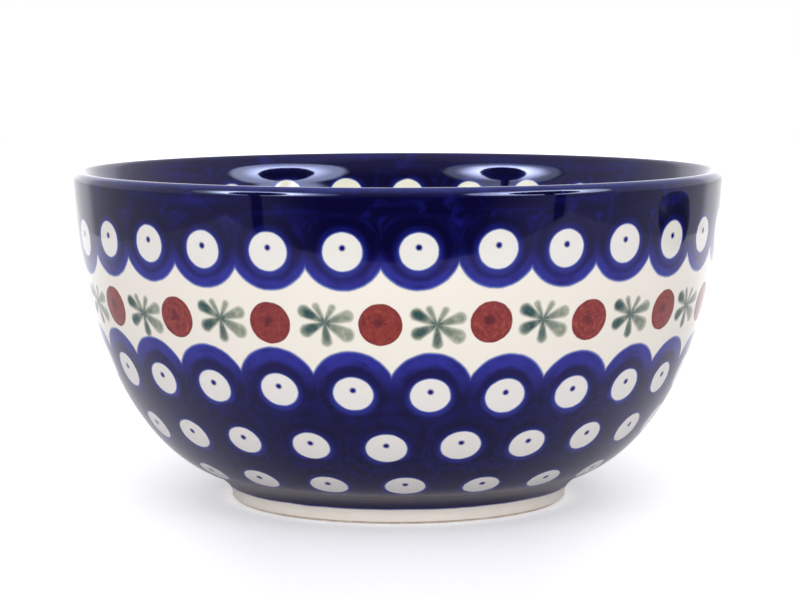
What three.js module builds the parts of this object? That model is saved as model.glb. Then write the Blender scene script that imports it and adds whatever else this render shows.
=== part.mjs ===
// A round stoneware bowl on a turned foot ring: one fired clay body under three coats of glaze.
// Millimetres, +Z up. The origin is the middle of the foot, on the surface that the bowl stands on.
import * as THREE from "three";

// Sizes of the finished bowl, glaze included
const RIM_DIAMETER = 152;
const HEIGHT = 77.6;
const LIP_THICKNESS = 3.2;
const WALL_THICKNESS = 5;
const WALL_TAPER_DEPTH = 24; // below the lip, where the wall reaches its full thickness
const FLOOR_THICKNESS = 5.2;
const FLOOR_BLEND_HEIGHT = 10; // above the floor, where the inside starts to turn level
const GLAZE_THICKNESS = 0.4;

// The foot ring
const FOOT_DIAMETER = 79;
const FOOT_HEIGHT = 4.2; // where the lines of the foot's side and the wall cross
const FOOT_DRAFT = 0.1; // lean of each side of the ring
const FOOT_WIDTH = 5.6;
const HOLLOW_DEPTH = 3.2; // the hollow above the foot starts this far down the foot's side
const HOLLOW_REACH = 6; // and runs this far up the wall
const FOOT_CHAMFER = 0.25;
const RECESS_DEPTH = 3.4;
const RECESS_FILLET = 1.8;
const BARE_HEIGHT = 0.6; // unglazed clay at the bottom of the ring

// The sweep of the outside wall, from the foot to the lip
const WALL_ANGLE = THREE.MathUtils.degToRad(27); // above level, where the wall leaves the foot
const BELLY_PULL = 1;
const SHOULDER_PULL = 60.9;
const RIM_LEAN = THREE.MathUtils.degToRad(2.64); // outwards, at the lip

// Steps along and around the turned surfaces
const TURN_STEPS = 60;
const WALL_STEPS = 12;
const LIP_STEPS = 6;
const FILLET_STEPS = 4;
const BLEND_STEPS = 4;

const footRadius = FOOT_DIAMETER / 2;
const footInnerRadius = footRadius - FOOT_WIDTH;
const lipRadius = LIP_THICKNESS / 2;
const lipCentre = new THREE.Vector2(RIM_DIAMETER / 2 - lipRadius, HEIGHT - lipRadius);
const floorHeight = RECESS_DEPTH + FLOOR_THICKNESS;

// A point at a distance and a direction from another
function pointFrom(start, distance, angle) {
  const step = new THREE.Vector2(Math.cos(angle), Math.sin(angle));
  return step.multiplyScalar(distance).add(start);
}

// A corner rounded off over a length of each of its sides
function roundedCorner(before, corner, after, lengths, steps) {
  const start = corner.clone().add(before.clone().sub(corner).setLength(lengths[0]));
  const end = corner.clone().add(after.clone().sub(corner).setLength(lengths[1]));
  return new THREE.QuadraticBezierCurve(start, corner, end).getPoints(steps);
}

// The outside wall, from the top of the hollow above the foot to the lip
const footTop = new THREE.Vector2(footRadius + FOOT_DRAFT, FOOT_HEIGHT);
const wallStart = pointFrom(footTop, HOLLOW_REACH, WALL_ANGLE);
const wallEnd = pointFrom(lipCentre, lipRadius, -RIM_LEAN);
const wall = new THREE.CubicBezierCurve(
  wallStart,
  pointFrom(wallStart, BELLY_PULL, WALL_ANGLE),
  pointFrom(wallEnd, SHOULDER_PULL, -Math.PI / 2 - RIM_LEAN),
  wallEnd,
);

// The glazed outside: the foot's side, the wall, and the lip as far as its inner edge
function outsideOutline() {
  const footEdge = new THREE.Vector2(footRadius, BARE_HEIGHT);
  const lip = new THREE.EllipseCurve(
    lipCentre.x,
    lipCentre.y,
    lipRadius,
    lipRadius,
    -RIM_LEAN,
    Math.PI - RIM_LEAN,
  );
  return [
    footEdge,
    ...roundedCorner(footEdge, footTop, wallStart, [HOLLOW_DEPTH, HOLLOW_REACH], FILLET_STEPS),
    ...wall.getPoints(WALL_STEPS).slice(1),
    ...lip.getPoints(LIP_STEPS).slice(1),
  ];
}

// The glazed inside below the lip: the wall one thickness in from the outside, then the floor
function insideOutline() {
  const wallPoints = [];
  for (let step = WALL_STEPS - 1; step >= 0; step -= 1) {
    const place = step / WALL_STEPS;
    const outer = wall.getPoint(place);
    const along = wall.getTangent(place);
    const taper = THREE.MathUtils.smoothstep(wallEnd.y - outer.y, 0, WALL_TAPER_DEPTH);
    const thickness = THREE.MathUtils.lerp(LIP_THICKNESS, WALL_THICKNESS, taper);
    const inner = new THREE.Vector2(outer.x - along.y * thickness, outer.y + along.x * thickness);
    if (inner.y > floorHeight + FLOOR_BLEND_HEIGHT) wallPoints.push(inner);
  }
  const [above, lowest] = wallPoints.slice(-2);
  const descent = lowest.clone().sub(above);
  const corner = lowest.clone().addScaledVector(descent, (floorHeight - lowest.y) / descent.y);
  const centre = new THREE.Vector2(0, floorHeight);
  const blendLength = lowest.distanceTo(corner);
  return [
    ...wallPoints,
    ...roundedCorner(lowest, corner, centre, [blendLength, blendLength], BLEND_STEPS).slice(1),
    centre,
  ];
}

// The glazed underside: the recess from its centre, and the inner side of the foot ring
function undersideOutline() {
  const centre = new THREE.Vector2(0, RECESS_DEPTH);
  const corner = new THREE.Vector2(footInnerRadius - FOOT_DRAFT, RECESS_DEPTH);
  const footEdge = new THREE.Vector2(footInnerRadius, BARE_HEIGHT);
  return [
    centre,
    ...roundedCorner(centre, corner, footEdge, [RECESS_FILLET, RECESS_FILLET], FILLET_STEPS),
    footEdge,
  ];
}

// An outline sunk into the clay by a depth, parallel to itself
function sunk(outline, depth) {
  const directionOf = (segment) => outline[segment + 1].clone().sub(outline[segment]).normalize();
  const lastSegment = outline.length - 2;
  return outline.map((point, i) => {
    const arriving = directionOf(Math.max(i - 1, 0));
    const leaving = directionOf(Math.min(i, lastSegment));
    const along = arriving.add(leaving).normalize();
    const reach = depth / along.dot(leaving);
    return new THREE.Vector2(point.x - along.y * reach, point.y + along.x * reach);
  });
}

// A named solid, turned about the bowl's upright axis
function turned(name, outline, material) {
  const geometry = new THREE.LatheGeometry(outline, TURN_STEPS);
  geometry.rotateX(Math.PI / 2);
  const mesh = new THREE.Mesh(geometry, material);
  mesh.name = name;
  return mesh;
}

const clayFinish = new THREE.MeshStandardMaterial({ color: 0xc9b7a3, roughness: 0.85, metalness: 0 });
const cobaltGlaze = new THREE.MeshStandardMaterial({ color: 0x2b2c66, roughness: 0.12, metalness: 0 });
const creamGlaze = new THREE.MeshStandardMaterial({ color: 0xefe9dc, roughness: 0.12, metalness: 0 });
const baseGlaze = new THREE.MeshStandardMaterial({ color: 0xe6ddcf, roughness: 0.2, metalness: 0 });

const outside = outsideOutline();
const inside = insideOutline();
const underside = undersideOutline();

// The outside and the inside coats meet at the inner edge of the lip, over one unbroken clay surface
const seam = outside.length - 1;
const clayUpper = sunk([...outside, ...inside], GLAZE_THICKNESS);
const clayUnder = sunk(underside, GLAZE_THICKNESS);
const clayOutside = clayUpper.slice(0, seam + 1);
const clayInside = clayUpper.slice(seam);

// The flat of the foot ring, between its two chamfers
const footFlat = [
  new THREE.Vector2(clayUnder.at(-1).x + FOOT_CHAMFER, 0),
  new THREE.Vector2(clayUpper[0].x - FOOT_CHAMFER, 0),
];

const bowl = new THREE.Group();
bowl.add(turned("stoneware_body", [...clayUnder, ...footFlat, ...clayUpper], clayFinish));

// Each coat fills the space between its own surface and the clay under it. The outside coat is a
// ring, so its outline closes on itself. The other two start and end on the axis.
bowl.add(turned("outer_glaze", [...outside, ...clayOutside.toReversed(), outside[0]], cobaltGlaze));
bowl.add(turned("inner_glaze", [...clayInside.toReversed(), outside[seam], ...inside], creamGlaze));
bowl.add(turned("base_glaze", [...underside, ...clayUnder.toReversed()], baseGlaze));

export default bowl;
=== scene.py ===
"""A hand-stamped stoneware bowl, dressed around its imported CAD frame.

Lengths are in millimetres until a mesh or a light is made. Places round the bowl are in turns, from the
front (-Y) towards +X. Depths run along the surface, down from the top of the lip.
"""
import math
from collections import namedtuple

import bmesh
import bpy
import numpy as np
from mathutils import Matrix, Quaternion, Vector, noise


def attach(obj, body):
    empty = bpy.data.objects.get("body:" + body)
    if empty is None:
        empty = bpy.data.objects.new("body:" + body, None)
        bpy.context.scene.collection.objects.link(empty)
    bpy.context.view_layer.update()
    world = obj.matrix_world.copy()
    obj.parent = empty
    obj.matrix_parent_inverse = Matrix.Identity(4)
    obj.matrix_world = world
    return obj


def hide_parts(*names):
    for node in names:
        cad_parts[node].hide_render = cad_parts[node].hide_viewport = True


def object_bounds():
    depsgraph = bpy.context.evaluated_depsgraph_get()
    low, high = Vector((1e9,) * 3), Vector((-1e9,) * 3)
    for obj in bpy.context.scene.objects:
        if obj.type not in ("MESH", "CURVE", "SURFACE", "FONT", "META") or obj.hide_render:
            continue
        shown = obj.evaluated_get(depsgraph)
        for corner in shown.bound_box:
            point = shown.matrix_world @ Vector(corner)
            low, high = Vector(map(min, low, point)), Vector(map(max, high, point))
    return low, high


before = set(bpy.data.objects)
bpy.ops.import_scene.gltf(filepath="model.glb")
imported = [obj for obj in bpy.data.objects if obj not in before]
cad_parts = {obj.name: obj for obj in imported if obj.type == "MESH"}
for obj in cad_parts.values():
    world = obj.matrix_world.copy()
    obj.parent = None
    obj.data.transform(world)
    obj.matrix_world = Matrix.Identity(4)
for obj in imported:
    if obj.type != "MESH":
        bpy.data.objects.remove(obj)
cad_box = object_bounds()

MM = 0.001
TAU = 2 * math.pi

# Sizes of the bowl, as in its CAD source. The rim and the height come from the frame.
RIM_RADIUS = cad_box[1].x / MM
HEIGHT = cad_box[1].z / MM
LIP_THICKNESS = 3.2
WALL_THICKNESS = 5.0
WALL_TAPER_DEPTH = 24.0
FLOOR_THICKNESS = 5.2
FLOOR_BLEND_HEIGHT = 10.0
GLAZE_THICKNESS = 0.4
FOOT_RADIUS = 39.5
FOOT_HEIGHT = 4.2
FOOT_DRAFT = 0.1
FOOT_WIDTH = 5.6
HOLLOW_DEPTH = 3.2
HOLLOW_REACH = 6.0
FOOT_CHAMFER = 0.25
RECESS_DEPTH = 3.4
RECESS_FILLET = 1.8
BARE_HEIGHT = 0.6
WALL_ANGLE = math.radians(27)
BELLY_PULL = 1.0
SHOULDER_PULL = 60.9
RIM_LEAN = math.radians(2.64)

# The rim as the hand rounded it, softer than in the solids: how far in its crown stands, how far down its
# outer and its inner side curve, and how much thicker the inner side makes the wall
RIM_CROWN = 1.5
RIM_OUTER_DROP = 2.2
RIM_INNER_DROP = 7.5
RIM_INNER_GAIN = 2.4
RIM_SEAM = 0.5  # where the coats meet, as a share of the inner side's quarter turn
OUTER_RIM_GAP = 0.2  # the wall's points stop this far below the rim's curves
INNER_RIM_GAP = 0.5
TAPER_SHIFT = 2.0  # how much lower than in the solids the inside tapers

# Steps of the turned surfaces
TURN_STEPS = 288
WALL_STEPS = 80
RIM_STEPS = 16
FILLET_STEPS = 28
BLEND_STEPS = 24
FLOOR_STEPS = 12
HIDDEN_STRIDE = 4  # the clay side of a coat keeps one point in this many
HIDDEN_SHARE = 0.08  # of its real length, that an unseen stretch takes on the baked map
MAP_MARGIN = 0.008
ON_AXIS = 1e-6  # a point this close to the axis is on it
SHARP_ANGLE = math.radians(40)

# The marks of the hand: a slow wobble of the wall and a finer ripple of the glaze
WOBBLE_HEIGHT = 0.16
WOBBLE_LENGTH = 70.0
RIPPLE_HEIGHT = 0.022
RIPPLE_LENGTH = 11.0
STEADY_HEIGHT = 8.0  # below this the foot was trued on the wheel
WOBBLY_HEIGHT = 20.0

# Stamped rows: how many stamps, where one of them stands, the height of their middles, how tall a stamp
# came out for its width, how much lower the row runs at the right than in the middle, and the seed of its
# slips
Row = namedtuple("Row", "count first_degrees height tall lean seed")
UPPER_EYES = Row(29, 3.5, 65.0, 0.97, -0.4, 3.0)
DISCS = Row(19, -3.2, 48.6, 1.0, 0.0, 41.0)
SPRIGS = Row(19, 6.3, 48.8, 1.0, 0.0, 83.0)
SCALLOP_EYES = Row(26, 5.96, 33.8, 0.93, 1.5, 127.0)
BELLY_EYES = Row(24, -2.8, 21.6, 0.91, 0.0, 181.0)
FOOT_EYES = Row(19, 1.64, 11.1, 0.86, 0.0, 239.0)
INSIDE_EYES = Row(28, -2.14, 67.16, 1.0, 0.0, 25452.0)
INSIDE_DISCS = Row(17, 0.0, 49.0, 1.0, 0.0, 367.0)
INSIDE_SPRIGS = Row(17, 10.59, 49.2, 1.0, 0.0, 419.0)
RIM_BAND_HEIGHT = 71.4  # the lower edge of the band brushed under the lip
COBALT_FOOT_HEIGHT = 3.65  # where the cobalt stops, in the hollow above the foot
LIP_INNER_FADE = 3.0  # how many times faster the lip's paler blue ends on the inner side

# One eye stamp
EYE_RING_RADIUS = 9.3
EYE_DISC_RADIUS = 4.25
EYE_DISC_DROP = 0.85  # the disc hangs below the pupil, which is the middle of the ring
HALO_DROP = 0.7  # the pale halo hangs below the disc
PUPIL_RADIUS = 0.68
STAMP_SLIP = 0.45  # how far a hand-placed stamp lands from its mark
DISC_SIZE_SLIP = 0.4  # how much the white discs differ in radius

# One red disc
DISC_RADIUS = 4.65
RED_CORE_SHIFT = (0.5, 0.4)  # how far left of the middle and above it the dark core lies

# The legs of a sprig: degrees from the right, length, width, how far along the ink gathered, and how much
Leg = namedtuple("Leg", "degrees length width blob ink")
SPRIG_LEGS = (
    Leg(151, 6.4, 2.9, 0.66, 1.0),
    Leg(116, 4.7, 1.5, 0.30, 0.35),
    Leg(62, 4.5, 1.5, 0.25, 0.25),
    Leg(17, 6.5, 2.7, 0.28, 0.45),
    Leg(-30, 6.9, 3.3, 0.26, 0.40),
    Leg(-87, 5.4, 2.4, 0.52, 0.75),
    Leg(205, 5.9, 3.0, 0.60, 0.95),
)
LEAF_WAIST = 0.34  # half the width of a leaf where it starts
LEAF_SWELL = 0.85  # the power by which it widens
BLOB_SHAPE = 0.6  # the width of a gathering of ink for its length
INK_FLOW = 1.4  # how far the ink moved along the leaves from one sprig to the next

# Brush strokes: millimetres across and radians long round a stamp, and the noise at which a second colour
# starts and is at its full
GRAIN_ROUGHNESS = 0.55
RING_STROKES = (1.5, 0.6)
RED_STROKES = (0.6, 0.4)
STROKE_SPREAD = 40.0  # how far apart in the noise two stamps' strokes lie
BAND_STREAKS = (24.0, 0.42)  # streaks of the brushed band, in each turn and each millimetre down
NAVY_STREAKS = (0.36, 0.66)
WASH_STREAKS = (0.3, 0.6)
PALE_STREAKS = (0.2, 0.55)
PALE_MOTTLE = (0.25, 0.6)
RED_STREAKS = (0.28, 0.5)
PALE_RED_STREAKS = (0.5, 0.68)
WASH_BAND_STREAKS = (0.46, 0.68)

# How a drawn line wanders: the length and the detail of its grain, and how far it goes
Wander = namedtuple("Wander", "length detail reach")
EDGE_WANDER = Wander(2.2, 2.0, 0.55)
CORE_WANDER = Wander(1.4, 3.0, 2.4)
BAND_WANDER = Wander(5.0, 2.0, 2.4)
LIP_WANDER = Wander(3.0, 2.0, 1.2)
COBALT_WANDER = Wander(9.0, 2.0, 0.7)

# The share of the edges' wander that each outline takes
RING_RAGGED = 0.5
DISC_RAGGED = 0.55
PUPIL_RAGGED = 0.35
RED_RAGGED = 0.6
LEAF_RAGGED = 0.3
BLOB_RAGGED = 0.8

# Patches of a second colour: the length and the detail of their grain, the noise at which they start and
# are at their full, and how strong they are
Patches = namedtuple("Patches", "length detail start full strength")
CREAM_PATCHES = Patches(26.0, 2.0, 0.5, 0.9, 0.25)
DISC_PATCHES = Patches(1.1, 3.0, 0.4, 0.8, 0.3)
LEAF_PATCHES = Patches(1.2, 3.0, 0.2, 0.7, 1.0)
DAB_PATCHES = Patches(4.2, 2.0, 0.55, 0.7, 0.55)
WASH_PATCHES = Patches(3.2, 3.0, 0.3, 0.6, 0.85)
FIELD_PATCHES = Patches(7.0, 3.0, 0.45, 0.8, 0.18)
FOOT_PATCHES = Patches(6.0, 3.0, 0.45, 0.8, 0.1)
BASE_PATCHES = Patches(7.0, 4.0, 0.45, 0.8, 0.4)
CLAY_PATCHES = Patches(4.0, 5.0, 0.4, 0.7, 0.5)
CLAY_SPECKS = Patches(0.5, 1.0, 0.72, 0.78, 0.6)

# How strongly other colours are laid
NAVY_STREAK_STRENGTH = 0.45
FRINGE_STRENGTH = 0.7
BLEED_STRENGTH = 0.75
RED_RIM_STRENGTH = 0.25
RED_SPREAD = 0.25  # how much darker some red discs are than others
HEART_STRENGTH = 0.85
BAND_STREAK_STRENGTH = 0.4
LOWER_RING_STRENGTH = 0.8
COBALT_DEEP_STRENGTH = 0.7
FOOT_TAN_STRENGTH = 0.15

# Where a colour starts, and where it is at its full. Each note holds as far as the next one.
RING_EDGE = (0.25, -0.3)  # outside the ring's radius
RING_FRINGE = (-0.65, -0.05)
WASH_REACH = (2.0, 0.8)  # outside the white disc
HALO_REACH = (1.4, -0.2)
BLEED_REACH = (0.5, -0.05)
DISC_EDGE = (0.2, -0.2)
PUPIL_EDGE = (0.3, -0.3)  # outside the pupil's radius
RED_EDGE = (0.12, -0.12)  # outside the red disc's radius
RED_RIM = (-0.8, 0.0)
RED_CORE = (1.6, 0.6)  # from the middle of the dark core
LEAF_EDGE = (0.36, -0.3)  # outside a leaf's outline
LEAF_INSIDE = (-0.05, -0.85)
LEAF_INK = (0.2, -0.5)
BLOB_REACH = (2.0, 0.4)  # from where a leaf's ink gathered
HEART_REACH = (2.6, 0.6)  # from the middle of a sprig
LIP_WEAR = (2.2, 0.3)  # from the top of the lip
BAND_EDGE = (-0.7, 0.7)  # below the edge of the brushed band
ROW_EDGE = (-0.5, 0.5)  # below the middle of a row
COBALT_END = (-0.15, 0.1)  # below the end of the cobalt
COBALT_DEEP = (-0.7, -0.2)
COBALT_BLEED = (-0.1, 0.55)
FOOT_TAN = (2.0, 3.0)

# Colours, in linear light
CREAM = (0.855, 0.806, 0.705, 1)
DISC_WHITE = (0.785, 0.76, 0.705, 1)
# painted light: the inside discs take the same white as DISC_WHITE, made brighter and yellower where the
# lamps light the inside of the bowl
LIT_INSIDE_WHITE = (0.86, 0.84, 0.70, 1)
FOOT_CREAM = (0.88, 0.82, 0.73, 1)
TAN = (0.56, 0.46, 0.37, 1)
NAVY = (0.0022, 0.0018, 0.026, 1)
WASH_BLUE = (0.007, 0.008, 0.13, 1)
RING_BLUE = (0.021, 0.023, 0.25, 1)
RING_DEEP = (0.006, 0.004, 0.088, 1)
RING_DARK = (0.004, 0.002, 0.05, 1)
HALO_BLUE = (0.022, 0.028, 0.23, 1)
EDGE_BLUE = (0.055, 0.12, 0.46, 1)
FRINGE_BLUE = (0.10, 0.19, 0.60, 1)
LIP_BLUE = (0.017, 0.028, 0.17, 1)
PUPIL_BLUE = (0.005, 0.006, 0.17, 1)
RED = (0.25, 0.036, 0.018, 1)
RED_DARK = (0.10, 0.014, 0.009, 1)
RED_PALE = (0.37, 0.078, 0.036, 1)
PALE_GREEN = (0.42, 0.44, 0.34, 1)
LEAF_GREEN = (0.22, 0.25, 0.18, 1)
TEAL = (0.018, 0.068, 0.056, 1)
SPECK = (0.2, 0.13, 0.08, 1)

# How the rings of a row look: how far below a stamp the pale outside starts and is at its full, or none
# where the rings are all in cobalt, the colour inside that, how far from the pupil the outside starts and
# is at its full, and how strong the halo is
RingLook = namedtuple("RingLook", "lit_drop dark band halo")
UPPER_RINGS = RingLook((-0.5, 6.0), RING_DEEP, (6.4, 8.0), 0.55)
SCALLOP_RINGS = RingLook((1.5, -6.5), RING_DARK, (5.2, 6.9), 0.55)
FIELD_RINGS = RingLook(None, NAVY, (5.2, 6.9), 0.48)

# Finishes. A bump is the length and the height of the unevenness.
GLAZE_IOR = 1.44
GLAZE_ROUGHNESS = 0.05
GLAZE_BUMP = (3.0, 0.006)
BASE_ROUGHNESS = 0.18
BASE_BUMP = (2.0, 0.02)
CLAY_ROUGHNESS = 0.85
CLAY_BUMP = (0.6, 0.06)
DULL_HEIGHT = 8.5  # below this the glaze gathered, and mirrors less sharply
DULL_EDGE = (-2.0, 2.0)
DULL_GAIN = 0.22
GLAZE_TINT = (0.52, 0.49, 1.0, 1)  # what the glaze mirrors looks this blue in the photo

# The camera and the table
CAMERA_PLACE = (-0.28, -620.6, 111.18)
CAMERA_PITCH = math.radians(5.908)
CAMERA_ROLL = math.radians(-0.137)
CAMERA_LENS = 119.52
SENSOR_WIDTH = 36.0
CLIP_END = 20.0  # metres
TABLE_FRONT = -248.0
TABLE_SIDE = 370.0
TABLE_BACK = 2500.0
TABLE_WHITE = (0.737, 0.727, 0.77, 1)
TABLE_ROUGHNESS = 0.9
SHADOW_LIFT = 0.29  # added to the table before the bowl, where the camera sees it
SHADOW_SIDES = (22.0, 78.0)  # the lift grows between these distances to each side
SIDE_LIFT = 0.31
SHADOW_BACK = (60.0, 200.0)  # and between these behind the bowl
BACK_LIFT = 0.4
MIRRORED_TABLE = (50.0, 260.0)  # behind the bowl, where the mirrored table turns white
MIRRORED_LIFT = 0.7
MIRRORED_SIDES = 0.8  # the share of the side lift that the glaze mirrors

# The room, by how far a direction points to the back or up: where each light starts and is at its full
ROOM_SIDES = (-0.93, -0.6)
ROOM_BACK = (0.68, 0.78)
ROOM_ABOVE = (-0.03, 0.08)
ROOM_CEILING = (0.0, 0.55)
ROOM_LIGHT = 0.04
SIDES_LIGHT = 0.2
BACK_LIGHT = 0.56
CEILING_LIGHT = 0.7
MIRRORED_ROOM_SIDES = 0.72  # the same lights as the glaze mirrors them
MIRRORED_ROOM_BACK = 0.65
MIRRORED_ABOVE = 0.2
MIRRORED_ABOVE_SIDES = 0.4

# The lamps
LAMP_DISTANCE = 640.0
LAMP_HEIGHT = 25.0  # degrees above level
LAMP_POWER = 1.73
LIGHT_TURN = 37.0  # the light itself falls from this far to each side of the front
LIGHT_HEIGHT = 18.5
LIGHT_SIZE = (600.0, 240.0)
SCREEN_SIZE = (620.0, 370.0)
SCREEN_DROP = 34.0  # the screen's middle lies below the lamp's
SCREEN_GLOW = (0.84, 1.0, 0.78, 1)
SCREEN_EDGE = (1.02, 0.85)  # shares of the screen's half size, where it starts to shine
SCREEN_CORE = (0.8, 0.15)  # and where its bright middle does
HEAD_HEIGHT = 180.0
HEAD_DROP = 48.0  # a lamp's dark head stands before the lower part of its bright screen
HEAD_GAP = 60.0
STEM_RADIUS = 18.0
STEM_LENGTH = 150.0
POLE_RADIUS = 24.0
POLE_REACH = (-500.0, 150.0)
POLE_SETBACK = 60.0
STAND_BLACK = (0.005, 0.005, 0.006, 1)
BAR_SIDES = 24
SCREEN_SIDES = 64
HEAD_SIDES = 64
DARK_SIDES = 32

# Something dark that stands on the table to the right, out of the picture
DARK_PLACE = (288.0, 54.0, 32.0)
DARK_SIZE = (100.0, 100.0, 42.0)

# Where each lamp and its pole stand, in degrees to the right of the front, how wide its head looks, and how
# brightly its screen shines all over and more in its middle
Lamp = namedtuple("Lamp", "name turn head_width pole_turn glow core")
LAMPS = (Lamp("left", -46.5, 195.0, -46.6, 5.0, 75.0), Lamp("right", 49.0, 240.0, 54.0, 14.0, 48.0))


def bezier(anchors, steps):
    """Points along a Bezier curve, both its ends included."""
    points = []
    for i in range(steps + 1):
        row = [Vector(a) for a in anchors]
        while len(row) > 1:
            row = [a.lerp(b, i / steps) for a, b in zip(row, row[1:])]
        points.append(row[0])
    return points


def from_point(start, distance, angle):
    return Vector(start) + distance * Vector((math.cos(angle), math.sin(angle)))


def rounded_corner(before, corner, after, lengths, steps):
    """A corner rounded off over a length of each of its sides."""
    corner = Vector(corner)
    start = corner + lengths[0] * (Vector(before) - corner).normalized()
    end = corner + lengths[1] * (Vector(after) - corner).normalized()
    return bezier((start, corner, end), steps)


def smoothstep(value, low, high):
    share = min(max((value - low) / (high - low), 0), 1)
    return share * share * (3 - 2 * share)


LIP_RADIUS = LIP_THICKNESS / 2
LIP_CENTRE = Vector((RIM_RADIUS - LIP_RADIUS, HEIGHT - LIP_RADIUS))
FOOT_TOP = Vector((FOOT_RADIUS + FOOT_DRAFT, FOOT_HEIGHT))
FOOT_INNER_RADIUS = FOOT_RADIUS - FOOT_WIDTH
FLOOR_HEIGHT = RECESS_DEPTH + FLOOR_THICKNESS
WALL_START = from_point(FOOT_TOP, HOLLOW_REACH, WALL_ANGLE)
WALL_END = from_point(LIP_CENTRE, LIP_RADIUS, -RIM_LEAN)
WALL = bezier(
    (
        WALL_START,
        from_point(WALL_START, BELLY_PULL, WALL_ANGLE),
        from_point(WALL_END, SHOULDER_PULL, -math.pi / 2 - RIM_LEAN),
        WALL_END,
    ),
    WALL_STEPS,
)


def wall_radius(height):
    return float(np.interp(height, [p.y for p in WALL], [p.x for p in WALL]))


def outer_rim():
    """The rim's outer side, from the wall up to the crown."""
    foot = Vector((RIM_RADIUS - RIM_CROWN, HEIGHT - RIM_OUTER_DROP))
    width = wall_radius(foot.y) - foot.x
    angles = np.linspace(0, math.pi / 2, RIM_STEPS + 1)
    return [foot + Vector((width * math.cos(a), RIM_OUTER_DROP * math.sin(a))) for a in angles]


def inner_rim(first, last):
    """The rim's inner side between two shares of its quarter turn, from the crown down to the wall."""
    points = []
    for angle in np.linspace(first, last, RIM_STEPS + 1) * math.pi / 2:
        height = HEIGHT - RIM_INNER_DROP * (1 - math.cos(angle))
        thickness = RIM_CROWN + RIM_INNER_GAIN * math.sin(angle)
        points.append(Vector((wall_radius(height) - thickness, height)))
    return points


def outside_outline():
    """The foot's side, the wall, and the rim as far as the seam on its inner side."""
    foot_edge = Vector((FOOT_RADIUS, BARE_HEIGHT))
    hollow = rounded_corner(foot_edge, FOOT_TOP, WALL_START, (HOLLOW_DEPTH, HOLLOW_REACH), FILLET_STEPS)
    rim = outer_rim()
    wall = [p for p in WALL[1:] if p.y < rim[0].y - OUTER_RIM_GAP]
    return [foot_edge, *hollow, *wall, *rim, *inner_rim(0, RIM_SEAM)[1:]]


def inside_outline():
    """The rest of the rim's inner side, the wall one thickness in, and the floor to its middle."""
    points = []
    rim_thickness = RIM_CROWN + RIM_INNER_GAIN
    for i in range(WALL_STEPS, 0, -1):
        along = (WALL[i] - WALL[i - 1]).normalized()
        taper = smoothstep(HEIGHT - WALL[i].y - TAPER_SHIFT, RIM_INNER_DROP, WALL_TAPER_DEPTH)
        thickness = rim_thickness + taper * (WALL_THICKNESS - rim_thickness)
        points.append(WALL[i] + thickness * Vector((-along.y, along.x)))
    rim = inner_rim(RIM_SEAM, 1)
    points = [p for p in points if FLOOR_HEIGHT + FLOOR_BLEND_HEIGHT < p.y < rim[-1].y - INNER_RIM_GAP]
    descent = points[-1] - points[-2]
    corner = points[-1] + descent * (FLOOR_HEIGHT - points[-1].y) / descent.y
    middle = Vector((0, FLOOR_HEIGHT))
    blend_length = (points[-1] - corner).length
    blend = rounded_corner(points[-1], corner, middle, (blend_length, blend_length), BLEND_STEPS)
    floor = [blend[-1].lerp(middle, i / FLOOR_STEPS) for i in range(1, FLOOR_STEPS + 1)]
    return [*rim, *points, *blend[1:], *floor]


def underside_outline():
    """The recess from its middle, and the inner side of the foot ring."""
    middle = Vector((0, RECESS_DEPTH))
    corner = Vector((FOOT_INNER_RADIUS - FOOT_DRAFT, RECESS_DEPTH))
    foot_edge = Vector((FOOT_INNER_RADIUS, BARE_HEIGHT))
    fillet = rounded_corner(middle, corner, foot_edge, (RECESS_FILLET, RECESS_FILLET), FILLET_STEPS)
    floor = [middle.lerp(fillet[0], i / FLOOR_STEPS) for i in range(FLOOR_STEPS)]
    return [*floor, *fillet, foot_edge]


def sunk(outline, depth):
    """An outline sunk into the clay by a depth, parallel to itself."""
    points = []
    last = len(outline) - 1
    for i, point in enumerate(outline):
        along = (outline[min(i + 1, last)] - outline[max(i - 1, 0)]).normalized()
        points.append(point + depth * Vector((-along.y, along.x)))
    return points


def thinned(outline):
    """Every few points of an outline, with its two ends."""
    return [*outline[:-1:HIDDEN_STRIDE], outline[-1]]


def lengths_along(outline):
    steps = [(b - a).length for a, b in zip(outline, outline[1:])]
    return np.concatenate([[0.0], np.cumsum(steps)])


class Surface:
    """An outline of the glaze that can be seen, and the depth of each of its points."""

    def __init__(self, outline, depths):
        self.outline = outline
        self.depths = list(depths)

    def depth_at(self, height):
        falling = sorted((depth, point.y) for depth, point in zip(self.depths, self.outline) if depth >= 0)
        return float(np.interp(-height, [-z for _, z in falling], [depth for depth, _ in falling]))


# Meshes turned about the bowl's axis
def hand_shift(x, y, z, shown):
    """How far the hand and the glaze moved a point of a perfect bowl outwards."""
    steadiness = smoothstep(z, STEADY_HEIGHT, WOBBLY_HEIGHT)
    shift = WOBBLE_HEIGHT * noise.noise(Vector((x, y, z)) / WOBBLE_LENGTH)
    if shown:
        shift += RIPPLE_HEIGHT * noise.noise(Vector((x, y, z)) / RIPPLE_LENGTH)
    return shift * steadiness


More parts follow.
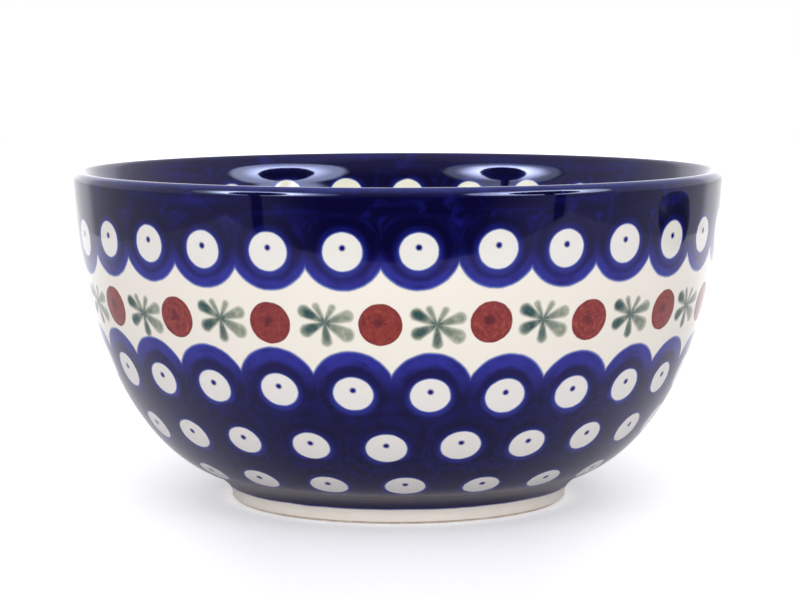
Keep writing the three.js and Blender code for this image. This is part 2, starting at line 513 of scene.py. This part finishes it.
def turned(name, outline, depths, shown):
    """A closed mesh of an outline turned about Z, with its outer side to the right of the outline.

    depths is each point's depth along the surface, and shown says which points can be seen.
    """
    angles = TAU * (np.arange(TURN_STEPS) / TURN_STEPS - 0.5)
    vertices, rings = [], []
    for point, seen in zip(outline, shown):
        start = len(vertices)
        if point.x < ON_AXIS:
            vertices.append((0, 0, point.y * MM))
            rings.append(np.full(TURN_STEPS + 1, start))
            continue
        for angle in angles:
            x, y = math.sin(angle), -math.cos(angle)
            radius = point.x + hand_shift(point.x * x, point.x * y, point.y, seen)
            vertices.append((radius * x * MM, radius * y * MM, point.y * MM))
        ring = np.arange(start, start + TURN_STEPS)
        rings.append(np.append(ring, start))
    faces, corners = [], []
    for k, (low, high) in enumerate(zip(rings, rings[1:])):
        for i in range(TURN_STEPS):
            around = [
                (low[i], i, k),
                (low[i + 1], i + 1, k),
                (high[i + 1], i + 1, k + 1),
                (high[i], i, k + 1),
            ]
            if low[i] == low[i + 1]:
                around = [(low[i], i + 0.5, k), *around[2:]]
            elif high[i] == high[i + 1]:
                around = [*around[:2], (high[i], i + 0.5, k + 1)]
            faces.append([int(vertex) for vertex, _, _ in around])
            corners.extend((place, station, i) for _, place, station in around)
    mesh = bpy.data.meshes.new(name)
    mesh.from_pydata(vertices, [], faces)
    mark_places(mesh, outline, depths, shown, np.array(corners))
    mesh.shade_smooth()
    mesh.set_sharp_from_angle(angle=SHARP_ANGLE)
    piece = bpy.data.objects.new(name, mesh)
    bpy.context.scene.collection.objects.link(piece)
    return piece


def mark_places(mesh, outline, depths, shown, corners):
    """Writes each corner's turn, depth and radius for the decoration, and a map to bake through.

    The map lays the front half of the turn above the back half.
    """
    place, station, step = corners[:, 0], corners[:, 1].astype(int), corners[:, 2]
    turns = place / TURN_STEPS - 0.5
    radii = np.array([p.x for p in outline])
    marks = np.column_stack([turns, np.array(depths)[station], radii[station]])
    layer = mesh.attributes.new("pattern", "FLOAT_VECTOR", "CORNER")
    layer.data.foreach_set("vector", marks.astype(np.float32).ravel())

    seen = np.array([a and b for a, b in zip(shown, shown[1:])])
    stretch = np.diff(lengths_along(outline)) * np.where(seen, 1, HIDDEN_SHARE)
    share = np.concatenate([[0], np.cumsum(stretch)]) / stretch.sum()
    middle = (step + 0.5) / TURN_STEPS - 0.5
    front = np.abs(middle) < 0.25
    across = np.where(front, turns + 0.25, np.where(middle > 0, turns - 0.25, turns + 0.75)) / 0.5
    u = MAP_MARGIN + (1 - 2 * MAP_MARGIN) * across
    v = np.where(front, 0.5, 0) + MAP_MARGIN + (0.5 - 2 * MAP_MARGIN) * share[station]
    baked = mesh.uv_layers.new(name="OFBake", do_init=False)
    baked.uv.foreach_set("vector", np.column_stack([u, v]).astype(np.float32).ravel())


# Shader arithmetic
def connect(value, socket):
    if isinstance(value, Field):
        socket.id_data.links.new(value.socket, socket)
    else:
        socket.default_value = value


class Field:
    """The output of a shader node. Arithmetic on fields adds the nodes that work it out."""

    def __init__(self, socket):
        self.socket = socket

    def feed(self, kind, inputs, output=0, **settings):
        return add_node(self.socket.id_data, kind, inputs, output, **settings)

    def math(self, operation, *others):
        return self.feed("ShaderNodeMath", dict(enumerate((self, *others))), operation=operation)

    def __add__(self, other):
        return self.math("ADD", other)

    def __sub__(self, other):
        return self.math("SUBTRACT", other)

    def __mul__(self, other):
        return self.math("MULTIPLY", other)

    def __rsub__(self, other):
        return self.feed("ShaderNodeMath", {0: other, 1: self}, operation="SUBTRACT")

    __radd__ = __add__
    __rmul__ = __mul__

    def least(self, other):
        return self.math("MINIMUM", other)

    def most(self, other):
        return self.math("MAXIMUM", other)

    def step(self, start, end):
        """0 up to start, 1 past end, and smooth between them. Start may be the higher one."""
        inputs = {"Value": self, "From Min": start, "From Max": end}
        return self.feed("ShaderNodeMapRange", inputs, interpolation_type="SMOOTHSTEP")

    def step_from(self, middle, reach):
        """A step whose two ends are told from a middle."""
        return self.step(middle + reach[0], middle + reach[1])

    def axes(self):
        """The three parts of a vector."""
        node = self.socket.id_data.nodes.new("ShaderNodeSeparateXYZ")
        connect(self, node.inputs[0])
        return [Field(output) for output in node.outputs]


def add_node(tree, kind, inputs, output=0, **settings):
    node = tree.nodes.new(kind)
    for name, value in settings.items():
        setattr(node, name, value)
    for key, value in inputs.items():
        connect(value, node.inputs[key])
    return Field(node.outputs[output])


def vector_of(x, y):
    return x.feed("ShaderNodeCombineXYZ", {0: x, 1: y})


def length_of(x, y):
    return x.feed("ShaderNodeVectorMath", {0: vector_of(x, y)}, "Value", operation="LENGTH")


def scaled(vector, factor, shift):
    """A vector times a factor, plus a shift along its third axis."""
    shift = shift.feed("ShaderNodeCombineXYZ", {2: shift})
    inputs = {0: vector, 1: (factor, factor, factor), 2: shift}
    return vector.feed("ShaderNodeVectorMath", inputs, operation="MULTIPLY_ADD")


def mix(under, over, amount):
    """One colour laid over another. amount is a field."""
    return amount.feed("ShaderNodeMix", {0: amount, 6: under, 7: over}, 2, data_type="RGBA")


class Place:
    """Where a point of the surface is, and the grain of the hand-laid colours there."""

    def __init__(self, tree, surface):
        self.tree = tree
        self.surface = surface
        marks = add_node(
            tree, "ShaderNodeAttribute", {}, "Vector", attribute_type="GEOMETRY", attribute_name="pattern"
        )
        self.turns, self.depth, self.radius = marks.axes()
        self.point = add_node(tree, "ShaderNodeTexCoord", {}, "Object")
        self.edge = self.wander(EDGE_WANDER)

    def grain(self, length, detail=2.0, stretch=None):
        """Noise about 0.5 whose features are about a length wide, in millimetres."""
        inputs = {"Detail": detail, "Roughness": GRAIN_ROUGHNESS}
        if stretch:
            around, down = (share / length for share in stretch)
            inputs["Vector"] = vector_of(self.turns * around, self.depth * down)
            inputs["Scale"] = 1.0
        else:
            inputs["Vector"] = self.point
            inputs["Scale"] = 1 / (length * MM)
        return add_node(self.tree, "ShaderNodeTexNoise", inputs)

    def wander(self, line):
        """How far a drawn line strays here."""
        return (self.grain(line.length, line.detail) - 0.5) * line.reach

    def patches(self, look):
        """How much of a second colour lies here."""
        return self.grain(look.length, look.detail).step(look.start, look.full) * look.strength


class Stamp:
    """A point's distance from one stamp of a row: to its right, below it, and in all."""

    def __init__(self, place, row, spot, index):
        number = index.math("FLOORED_MODULO", row.count) + row.seed
        chance = number.feed("ShaderNodeTexWhiteNoise", {"W": number}, "Color", noise_dimensions="1D")
        self.chance = chance.axes()
        slip = [(c - 0.5) * (2 * STAMP_SLIP) for c in self.chance[:2]]
        self.right = (spot - index) * place.radius * (TAU / row.count) + slip[0]
        lean = (place.turns * TAU).math("SINE") * row.lean
        self.down = place.depth - place.surface.depth_at(row.height) - lean + slip[1]
        self.distance = length_of(self.right, self.down)

    def brush(self, across, turn):
        """Noise about 0.5 in strokes that run round the stamp, some millimetres across and radians long."""
        spoke = vector_of(self.right, self.down)
        spoke = spoke.feed("ShaderNodeVectorMath", {0: spoke}, operation="NORMALIZE")
        strokes = scaled(spoke, 1 / turn, self.distance * (1 / across) + self.chance[2] * STROKE_SPREAD)
        return spoke.feed("ShaderNodeTexNoise", {"Vector": strokes, "Scale": 1.0, "Detail": 3.0})


def nearest_stamps(place, row):
    """The nearest stamp of a row, and the next nearest."""
    spot = place.turns * row.count - row.first_degrees / 360 * row.count
    near = (spot + 0.5).math("FLOOR")
    beyond = near + (spot - near).math("SIGN")
    return Stamp(place, row, spot, near), Stamp(place, row, spot, beyond)


# The decoration
def eye_rings(place, row, look):
    """The blue rings of a row of eyes: how much they cover, their colour, and the nearest stamp."""
    near, beyond = nearest_stamps(place, row)
    ring = near.distance.least(beyond.distance) + place.edge * RING_RAGGED
    cover = ring.step_from(EYE_RING_RADIUS, RING_EDGE)
    strokes = near.brush(*RING_STROKES)
    mottle = place.grain(4.5)
    outer = (ring + (strokes - 0.5)).step(*look.band)
    shaded = mix(NAVY, WASH_BLUE, outer * strokes.step(*NAVY_STREAKS) * NAVY_STREAK_STRENGTH)
    close = (eye_rim(near, row, 0) + (strokes - 0.5) * 0.6).step(*WASH_REACH)
    shaded = mix(shaded, WASH_BLUE, close * (strokes.step(*WASH_STREAKS) * 0.5 + 0.3))
    if look.lit_drop:
        brushed = strokes.step(*PALE_STREAKS) * 0.6 + mottle.step(*PALE_MOTTLE) * 0.4
        pale = mix(RING_DEEP, RING_BLUE, brushed)
        fringe = ring.step_from(EYE_RING_RADIUS, RING_FRINGE)
        pale = mix(pale, FRINGE_BLUE, fringe * FRINGE_STRENGTH)
        shaded = mix(shaded, mix(look.dark, pale, outer), near.down.step(*look.lit_drop))
    halo = (eye_rim(near, row, HALO_DROP) + (strokes - 0.5) * 0.8).step(*HALO_REACH)
    shaded = mix(shaded, HALO_BLUE, halo * (mottle * 0.6 + look.halo))
    bleed = eye_rim(near, row, 0).step(*BLEED_REACH)
    return cover, mix(shaded, EDGE_BLUE, bleed * BLEED_STRENGTH), near


def eye_rim(near, row, drop):
    """How far a point lies outside the white disc of an eye, were the disc moved down."""
    size = (near.chance[2] - 0.5) * DISC_SIZE_SLIP
    down = (near.down - EYE_DISC_DROP - drop) * (1 / row.tall)
    return length_of(near.right, down) + size - EYE_DISC_RADIUS


def eye_discs(colour, place, near, row, white):
    """The white disc of each eye, and its pupil."""
    rim = eye_rim(near, row, 0) + place.edge * DISC_RAGGED
    white = mix(white, FOOT_CREAM, place.patches(DISC_PATCHES))
    colour = mix(colour, white, rim.step(*DISC_EDGE))
    pupil = near.distance + place.edge * PUPIL_RAGGED
    return mix(colour, PUPIL_BLUE, pupil.step_from(PUPIL_RADIUS, PUPIL_EDGE))


def red_discs(colour, place, row):
    """Discs brushed round, each darker in a core and at its rim, and some darker than others."""
    near = nearest_stamps(place, row)[0]
    rim = near.distance + place.edge * RED_RAGGED
    cover = rim.step_from(DISC_RADIUS, RED_EDGE)
    strokes = near.brush(*RED_STROKES) * 0.6 + place.grain(1.0, detail=3.0) * 0.4
    red = mix(RED_DARK, RED, strokes.step(*RED_STREAKS))
    red = mix(red, RED_PALE, strokes.step(*PALE_RED_STREAKS) * (near.chance[0] * 0.5 + 0.4))
    core = length_of(near.right + RED_CORE_SHIFT[0], near.down + RED_CORE_SHIFT[1])
    core = (core + place.wander(CORE_WANDER)).step(*RED_CORE)
    red = mix(red, RED_DARK, core * (near.chance[1] * 0.4 + 0.6))
    red = mix(red, RED_DARK, rim.step_from(DISC_RADIUS, RED_RIM) * RED_RIM_STRENGTH)
    red = mix(red, RED_DARK, near.chance[2] * RED_SPREAD)
    return mix(colour, red, cover)


def green_sprigs(colour, place, row):
    """Seven soft leaves round a point, each with its ink gathered somewhere along it."""
    near = nearest_stamps(place, row)[0]
    spot = vector_of(near.right, near.down * -1)
    flow = (near.chance[2] - 0.5) * INK_FLOW
    edge = None
    dark = near.distance.step(*HEART_REACH) * HEART_STRENGTH
    for leg in SPRIG_LEGS:
        angle = math.radians(leg.degrees)
        ahead = (math.cos(angle), math.sin(angle), 0)
        aside = (-math.sin(angle), math.cos(angle), 0)
        along = spot.feed("ShaderNodeVectorMath", {0: spot, 1: ahead}, "Value", operation="DOT_PRODUCT")
        across = spot.feed("ShaderNodeVectorMath", {0: spot, 1: aside}, "Value", operation="DOT_PRODUCT")
        reach = leg.length - leg.width / 2
        share = along.feed("ShaderNodeMapRange", {"Value": along, "From Min": 0, "From Max": reach})
        swell = share.math("POWER", LEAF_SWELL) * (leg.width / 2 - LEAF_WAIST) + LEAF_WAIST
        outline = length_of(along - share * reach, across) - swell
        edge = outline if edge is None else edge.least(outline)
        blob = length_of((along - flow - leg.blob * leg.length) * BLOB_SHAPE, across)
        blob = blob + place.edge * BLOB_RAGGED
        dark = dark.most(blob.step(*BLOB_REACH) * leg.ink)
    edge = edge + place.edge * LEAF_RAGGED
    leaf = edge.step(*LEAF_INSIDE) * place.patches(LEAF_PATCHES)
    ink = mix(PALE_GREEN, LEAF_GREEN, leaf)
    gathered = dark * (place.grain(0.9, detail=3.0) * 0.6 + 0.65)
    ink = mix(ink, TEAL, gathered * edge.step(*LEAF_INK))
    return mix(colour, ink, edge.step(*LEAF_EDGE))


def rim_cobalt(place, rings, cover):
    """The cobalt under the lip: a brushed band over the tops of the rings, and the wash between them."""
    streaks = place.grain(1.0, detail=2.5, stretch=BAND_STREAKS)
    band = mix(NAVY, WASH_BLUE, streaks.step(*WASH_BAND_STREAKS) * BAND_STREAK_STRENGTH)
    band = mix(band, WASH_BLUE, place.patches(DAB_PATCHES))
    wash = mix(NAVY, WASH_BLUE, place.patches(WASH_PATCHES))
    reach = place.depth + place.wander(BAND_WANDER)
    below = reach.step_from(place.surface.depth_at(RIM_BAND_HEIGHT), BAND_EDGE)
    colour = mix(band, mix(wash, rings, cover), below)
    worn = place.depth.most(place.depth * -LIP_INNER_FADE) + place.wander(LIP_WANDER)
    return mix(colour, LIP_BLUE, worn.step(*LIP_WEAR))


def past(place, height, edge):
    """0 above a height and 1 below it, on the surface."""
    return place.depth.step_from(place.surface.depth_at(height), edge)


def rim_pattern(place, discs, sprigs, eyes, white):
    """What both sides share: discs and sprigs on cream, below a cobalt rim with a row of eyes."""
    cream = mix(CREAM, FOOT_CREAM, place.patches(CREAM_PATCHES))
    colour = red_discs(cream, place, discs)
    colour = green_sprigs(colour, place, sprigs)
    cover, rings, near = eye_rings(place, eyes, UPPER_RINGS)
    field = rim_cobalt(place, rings, cover)
    colour = mix(field, colour, past(place, eyes.height, ROW_EDGE).least(1 - cover))
    return eye_discs(colour, place, near, eyes, white)


def outside_colour(place):
    """The rim's pattern, the cobalt field below it with three rows of eyes, and the cream foot."""
    colour = rim_pattern(place, DISCS, SPRIGS, UPPER_EYES, DISC_WHITE)
    ground = mix(NAVY, WASH_BLUE, place.patches(FIELD_PATCHES))
    cover, rings, near = eye_rings(place, SCALLOP_EYES, SCALLOP_RINGS)
    field = mix(ground, rings, cover)
    blue = cover.most(past(place, SCALLOP_EYES.height, ROW_EDGE))
    stamps = [(near, SCALLOP_EYES)]
    for row in (BELLY_EYES, FOOT_EYES):
        cover, rings, near = eye_rings(place, row, FIELD_RINGS)
        field = mix(field, rings, cover * LOWER_RING_STRENGTH)
        stamps.append((near, row))
    colour = mix(colour, field, blue)
    for near, row in stamps:
        colour = eye_discs(colour, place, near, row, DISC_WHITE)
    return foot_edge(colour, place)


def foot_edge(colour, place):
    """The end of the cobalt just above the foot, with its pale blue bleed, and the cream below it."""
    end = place.surface.depth_at(COBALT_FOOT_HEIGHT)
    line = place.depth + place.wander(COBALT_WANDER)
    colour = mix(colour, RING_DEEP, line.step_from(end, COBALT_DEEP) * COBALT_DEEP_STRENGTH)
    foot = mix(FOOT_CREAM, TAN, place.patches(FOOT_PATCHES))
    foot = mix(foot, TAN, line.step_from(end, FOOT_TAN) * FOOT_TAN_STRENGTH)
    foot = mix(HALO_BLUE, foot, line.step_from(end, COBALT_BLEED))
    return mix(colour, foot, line.step_from(end, COBALT_END))


def inside_colour(place):
    # the inside's eye discs get the painted lamplit white, brighter and yellower than the outside's
    return rim_pattern(place, INSIDE_DISCS, INSIDE_SPRIGS, INSIDE_EYES, LIT_INSIDE_WHITE)


def base_colour(place):
    return mix(FOOT_CREAM, TAN, place.patches(BASE_PATCHES))


def clay_colour(place):
    clay = mix(TAN, FOOT_CREAM, place.patches(CLAY_PATCHES))
    return mix(clay, SPECK, place.patches(CLAY_SPECKS))


def material(name, surface, colour_of, roughness, bump, dull_height=None):
    """A finish whose colour follows the place on a surface, and that is duller below a height."""
    made = bpy.data.materials.new(name)
    made.use_nodes = True
    tree = made.node_tree
    shader = tree.nodes["Principled BSDF"]
    place = Place(tree, surface)
    connect(colour_of(place), shader.inputs["Base Color"])
    if dull_height:
        roughness = past(place, dull_height, DULL_EDGE) * DULL_GAIN + roughness
    connect(roughness, shader.inputs["Roughness"])
    shader.inputs["IOR"].default_value = GLAZE_IOR
    shader.inputs["Specular Tint"].default_value = GLAZE_TINT
    length, height = bump
    uneven = {"Height": place.grain(length, detail=3.0), "Distance": height * MM, "Strength": 1.0}
    connect(add_node(tree, "ShaderNodeBump", uneven), shader.inputs["Normal"])
    return made


def add_piece(name, node, outline, depths, shown, finish):
    """A piece that stands for a CAD node and rides on the bowl's one body."""
    piece = turned(name, outline, depths, shown)
    piece.data.materials.append(finish)
    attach(piece, "root")
    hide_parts(node)
    return piece


def coat_parts(surface, clay, surface_first):
    """The outline of a coat of glaze, from its surface and the clay under it."""
    hidden = thinned(clay)[::-1]
    hidden_depths = [surface.depths[0]] * len(hidden)
    seen, unseen = [True] * len(surface.outline), [False] * len(hidden)
    if surface_first:
        return [*surface.outline, *hidden], [*surface.depths, *hidden_depths], seen + unseen
    return [*hidden, *surface.outline], [*hidden_depths, *surface.depths], unseen + seen


def bowl_surfaces():
    """The three glazed surfaces: outside, inside and underside."""
    outside, inside, underside = outside_outline(), inside_outline(), underside_outline()
    along = lengths_along(outside)
    crown = along[max(range(len(outside)), key=lambda i: outside[i].y)]
    return (
        Surface(outside, crown - along),
        Surface(inside, along[-1] - crown + lengths_along(inside)),
        Surface(underside, lengths_along(underside)),
    )


def build_bowl():
    outside, inside, underside = bowl_surfaces()
    seam = len(outside.outline) - 1
    clay_upper = sunk([*outside.outline, *inside.outline[1:]], GLAZE_THICKNESS)
    clay_under = sunk(underside.outline, GLAZE_THICKNESS)

    outline, depths, shown = coat_parts(outside, clay_upper[: seam + 1], True)
    glaze = material(
        "decorated_glaze_outside", outside, outside_colour, GLAZE_ROUGHNESS, GLAZE_BUMP, DULL_HEIGHT
    )
    add_piece(
        "glazed_outside", "outer_glaze",
        [*outline, outline[0]], [*depths, depths[0]], [*shown, True], glaze,
    )

    outline, depths, shown = coat_parts(inside, clay_upper[seam:], False)
    glaze = material("decorated_glaze_inside", inside, inside_colour, GLAZE_ROUGHNESS, GLAZE_BUMP)
    add_piece("glazed_inside", "inner_glaze", outline, depths, shown, glaze)

    outline, depths, shown = coat_parts(underside, clay_under, True)
    glaze = material("plain_glaze_base", underside, base_colour, BASE_ROUGHNESS, BASE_BUMP)
    add_piece("glazed_base", "base_glaze", outline, depths, shown, glaze)

    flat = [
        Vector((clay_under[-1].x + FOOT_CHAMFER, 0)),
        Vector((clay_upper[0].x - FOOT_CHAMFER, 0)),
    ]
    outline = [*thinned(clay_under), *flat, *thinned(clay_upper)]
    body = Surface(outline, lengths_along(outline))
    clay = material("bare_stoneware", body, clay_colour, CLAY_ROUGHNESS, CLAY_BUMP)
    shown = [True] * len(outline)
    add_piece("clay_body", "stoneware_body", outline, body.depths, shown, clay)


# The stage
def add_camera():
    camera = bpy.data.objects.new("camera", bpy.data.cameras.new("camera"))
    camera.location = Vector(CAMERA_PLACE) * MM
    camera.rotation_mode = "QUATERNION"
    level = Quaternion((1, 0, 0), math.pi / 2 - CAMERA_PITCH)
    camera.rotation_quaternion = level @ Quaternion((0, 0, 1), CAMERA_ROLL)
    camera.data.lens = CAMERA_LENS
    camera.data.sensor_width = SENSOR_WIDTH
    camera.data.clip_end = CLIP_END
    bpy.context.scene.collection.objects.link(camera)
    bpy.context.scene.camera = camera


def add_table():
    """A white table that keeps the bowl's shadow, and turns plain white to the camera away from it."""
    mesh = bpy.data.meshes.new("table")
    side, front, back = TABLE_SIDE * MM, TABLE_FRONT * MM, TABLE_BACK * MM
    corners = [(-side, front, 0), (side, front, 0), (side, back, 0), (-side, back, 0)]
    mesh.from_pydata(corners, [], [(0, 1, 2, 3)])
    finish = bpy.data.materials.new("white_table")
    finish.use_nodes = True
    tree = finish.node_tree
    shader = tree.nodes["Principled BSDF"]
    shader.inputs["Base Color"].default_value = TABLE_WHITE
    shader.inputs["Roughness"].default_value = TABLE_ROUGHNESS
    shader.inputs["Specular IOR Level"].default_value = 0.0
    shader.inputs["Emission Color"].default_value = (1, 1, 1, 1)
    x, y, _ = add_node(tree, "ShaderNodeNewGeometry", {}, "Position").axes()
    beside = x.math("ABSOLUTE").step(*(place * MM for place in SHADOW_SIDES)) * SIDE_LIFT
    beyond = y.step(*(place * MM for place in SHADOW_BACK)) * BACK_LIFT
    behind = y.step(*(place * MM for place in MIRRORED_TABLE)) * MIRRORED_LIFT
    seen = add_node(tree, "ShaderNodeLightPath", {}, "Is Camera Ray")
    mirrored = add_node(tree, "ShaderNodeLightPath", {}, "Is Glossy Ray")
    lift = seen * (beside + beyond + SHADOW_LIFT) + mirrored * (behind + beside * MIRRORED_SIDES)
    connect(lift, shader.inputs["Emission Strength"])
    mesh.materials.append(finish)
    table = bpy.data.objects.new("table", mesh)
    bpy.context.scene.collection.objects.link(table)


def add_world():
    """White behind, paler at the sides and above, and dark where the room opens towards the camera."""
    world = bpy.data.worlds.new("studio")
    bpy.context.scene.world = world
    world.use_nodes = True
    tree = world.node_tree
    background = tree.nodes["Background"]
    _, back, up = add_node(tree, "ShaderNodeTexCoord", {}, "Generated").axes()
    sides = back.step(*ROOM_SIDES)
    behind = back.step(*ROOM_BACK)
    above = up.step(*ROOM_ABOVE)
    light = sides * SIDES_LIGHT + behind * BACK_LIGHT + ROOM_LIGHT
    light = light.most(up.step(*ROOM_CEILING) * CEILING_LIGHT)
    glossy = sides * MIRRORED_ROOM_SIDES + behind * MIRRORED_ROOM_BACK
    glossy = glossy + above * (sides * MIRRORED_ABOVE_SIDES + MIRRORED_ABOVE)
    light = light.most(add_node(tree, "ShaderNodeLightPath", {}, "Is Glossy Ray") * glossy)
    light = light.most(add_node(tree, "ShaderNodeLightPath", {}, "Is Camera Ray"))
    connect(light, background.inputs["Strength"])
    background.inputs["Color"].default_value = (1, 1, 1, 1)


def direction(turn, height):
    """The way from the bowl towards a place, by its degrees to the right of the front and above level."""
    turn, height = math.radians(turn), math.radians(height)
    reach = math.cos(height)
    return Vector((math.sin(turn) * reach, -math.cos(turn) * reach, math.sin(height)))


def add_mirrored(name, shape, finish, place, turn):
    """A thing that only reflections show."""
    mesh = bpy.data.meshes.new(name)
    shape.to_mesh(mesh)
    shape.free()
    mesh.materials.append(finish)
    thing = bpy.data.objects.new(name, mesh)
    thing.location = place
    thing.rotation_mode = "QUATERNION"
    thing.rotation_quaternion = turn
    thing.visible_camera = False
    thing.visible_diffuse = False
    thing.visible_shadow = False
    bpy.context.scene.collection.objects.link(thing)


def add_bar(shape, radius, low, high):
    """An upright round bar between two heights."""
    bar = bmesh.ops.create_cone(
        shape, segments=BAR_SIDES, radius1=radius * MM, radius2=radius * MM, depth=(high - low) * MM
    )
    bmesh.ops.translate(shape, vec=(0, 0, (low + high) / 2 * MM), verts=bar["verts"])


def screen_glow(lamp):
    """Bright round the lamp's head, and fading towards the rim of the screen."""
    glow = bpy.data.materials.new("lamp_glow_" + lamp.name)
    glow.use_nodes = True
    tree = glow.node_tree
    x, y, _ = add_node(tree, "ShaderNodeTexCoord", {}, "Object").axes()
    away = length_of(x * (2 / SCREEN_SIZE[0] / MM), y * (2 / SCREEN_SIZE[1] / MM))
    strength = away.step(*SCREEN_EDGE) * lamp.glow + away.step(*SCREEN_CORE) * lamp.core
    light = add_node(tree, "ShaderNodeEmission", {"Color": SCREEN_GLOW, "Strength": strength})
    connect(light, tree.nodes["Material Output"].inputs["Surface"])
    return glow


def black_finish():
    black = bpy.data.materials.new("black_stand")
    black.use_nodes = True
    black.node_tree.nodes["Principled BSDF"].inputs["Base Color"].default_value = STAND_BLACK
    return black


def add_lamp(lamp, black):
    """A lamp's light, and what the glaze mirrors of it: its screen, its dark head, and its pole."""
    away = direction(lamp.turn, LAMP_HEIGHT)
    middle = Vector((0, 0, HEIGHT / 2 * MM))
    place = middle + away * LAMP_DISTANCE * MM
    facing = (-away).to_track_quat("-Z", "Y")
    upright = Quaternion((0, 0, 1), math.radians(lamp.turn))

    light = bpy.data.lights.new("lamp_" + lamp.name, "AREA")
    light.shape = "RECTANGLE"
    light.size, light.size_y = (length * MM for length in LIGHT_SIZE)
    light.energy = LAMP_POWER
    holder = bpy.data.objects.new("lamp_" + lamp.name, light)
    falling = direction(math.copysign(LIGHT_TURN, lamp.turn), LIGHT_HEIGHT)
    holder.location = middle + falling * LAMP_DISTANCE * MM
    holder.rotation_mode = "QUATERNION"
    holder.rotation_quaternion = (-falling).to_track_quat("-Z", "Y")
    holder.visible_camera = False
    holder.visible_glossy = False
    bpy.context.scene.collection.objects.link(holder)

    screen = bmesh.new()
    bmesh.ops.create_circle(screen, cap_ends=True, segments=SCREEN_SIDES, radius=0.5)
    bmesh.ops.scale(screen, vec=Vector((*SCREEN_SIZE, 1)) * MM, verts=screen.verts)
    screen_place = place - Vector((0, 0, SCREEN_DROP * MM))
    add_mirrored("lamp_screen_" + lamp.name, screen, screen_glow(lamp), screen_place, facing)

    head = bmesh.new()
    bmesh.ops.create_uvsphere(head, u_segments=HEAD_SIDES, v_segments=HEAD_SIDES // 2, radius=0.5)
    bmesh.ops.scale(head, vec=Vector((lamp.head_width, HEAD_HEIGHT, HEAD_HEIGHT)) * MM, verts=head.verts)
    add_bar(head, STEM_RADIUS, -STEM_LENGTH, 0)
    head_place = place - away * HEAD_GAP * MM - Vector((0, 0, HEAD_DROP * MM))
    add_mirrored("lamp_head_" + lamp.name, head, black, head_place, upright)

    pole = bmesh.new()
    add_bar(pole, POLE_RADIUS, *POLE_REACH)
    pole_place = direction(lamp.pole_turn, 0) * (LAMP_DISTANCE + POLE_SETBACK) * MM
    add_mirrored("lamp_pole_" + lamp.name, pole, black, pole_place, upright)


def add_lamps():
    black = black_finish()
    for lamp in LAMPS:
        add_lamp(lamp, black)
    dark = bmesh.new()
    bmesh.ops.create_uvsphere(dark, u_segments=DARK_SIDES, v_segments=DARK_SIDES // 2, radius=0.5)
    bmesh.ops.scale(dark, vec=Vector(DARK_SIZE) * MM, verts=dark.verts)
    add_mirrored("dark_thing", dark, black, Vector(DARK_PLACE) * MM, Quaternion())


build_bowl()
add_camera()
add_table()
add_world()
add_lamps()
bpy.context.scene.view_settings.view_transform = "Standard"
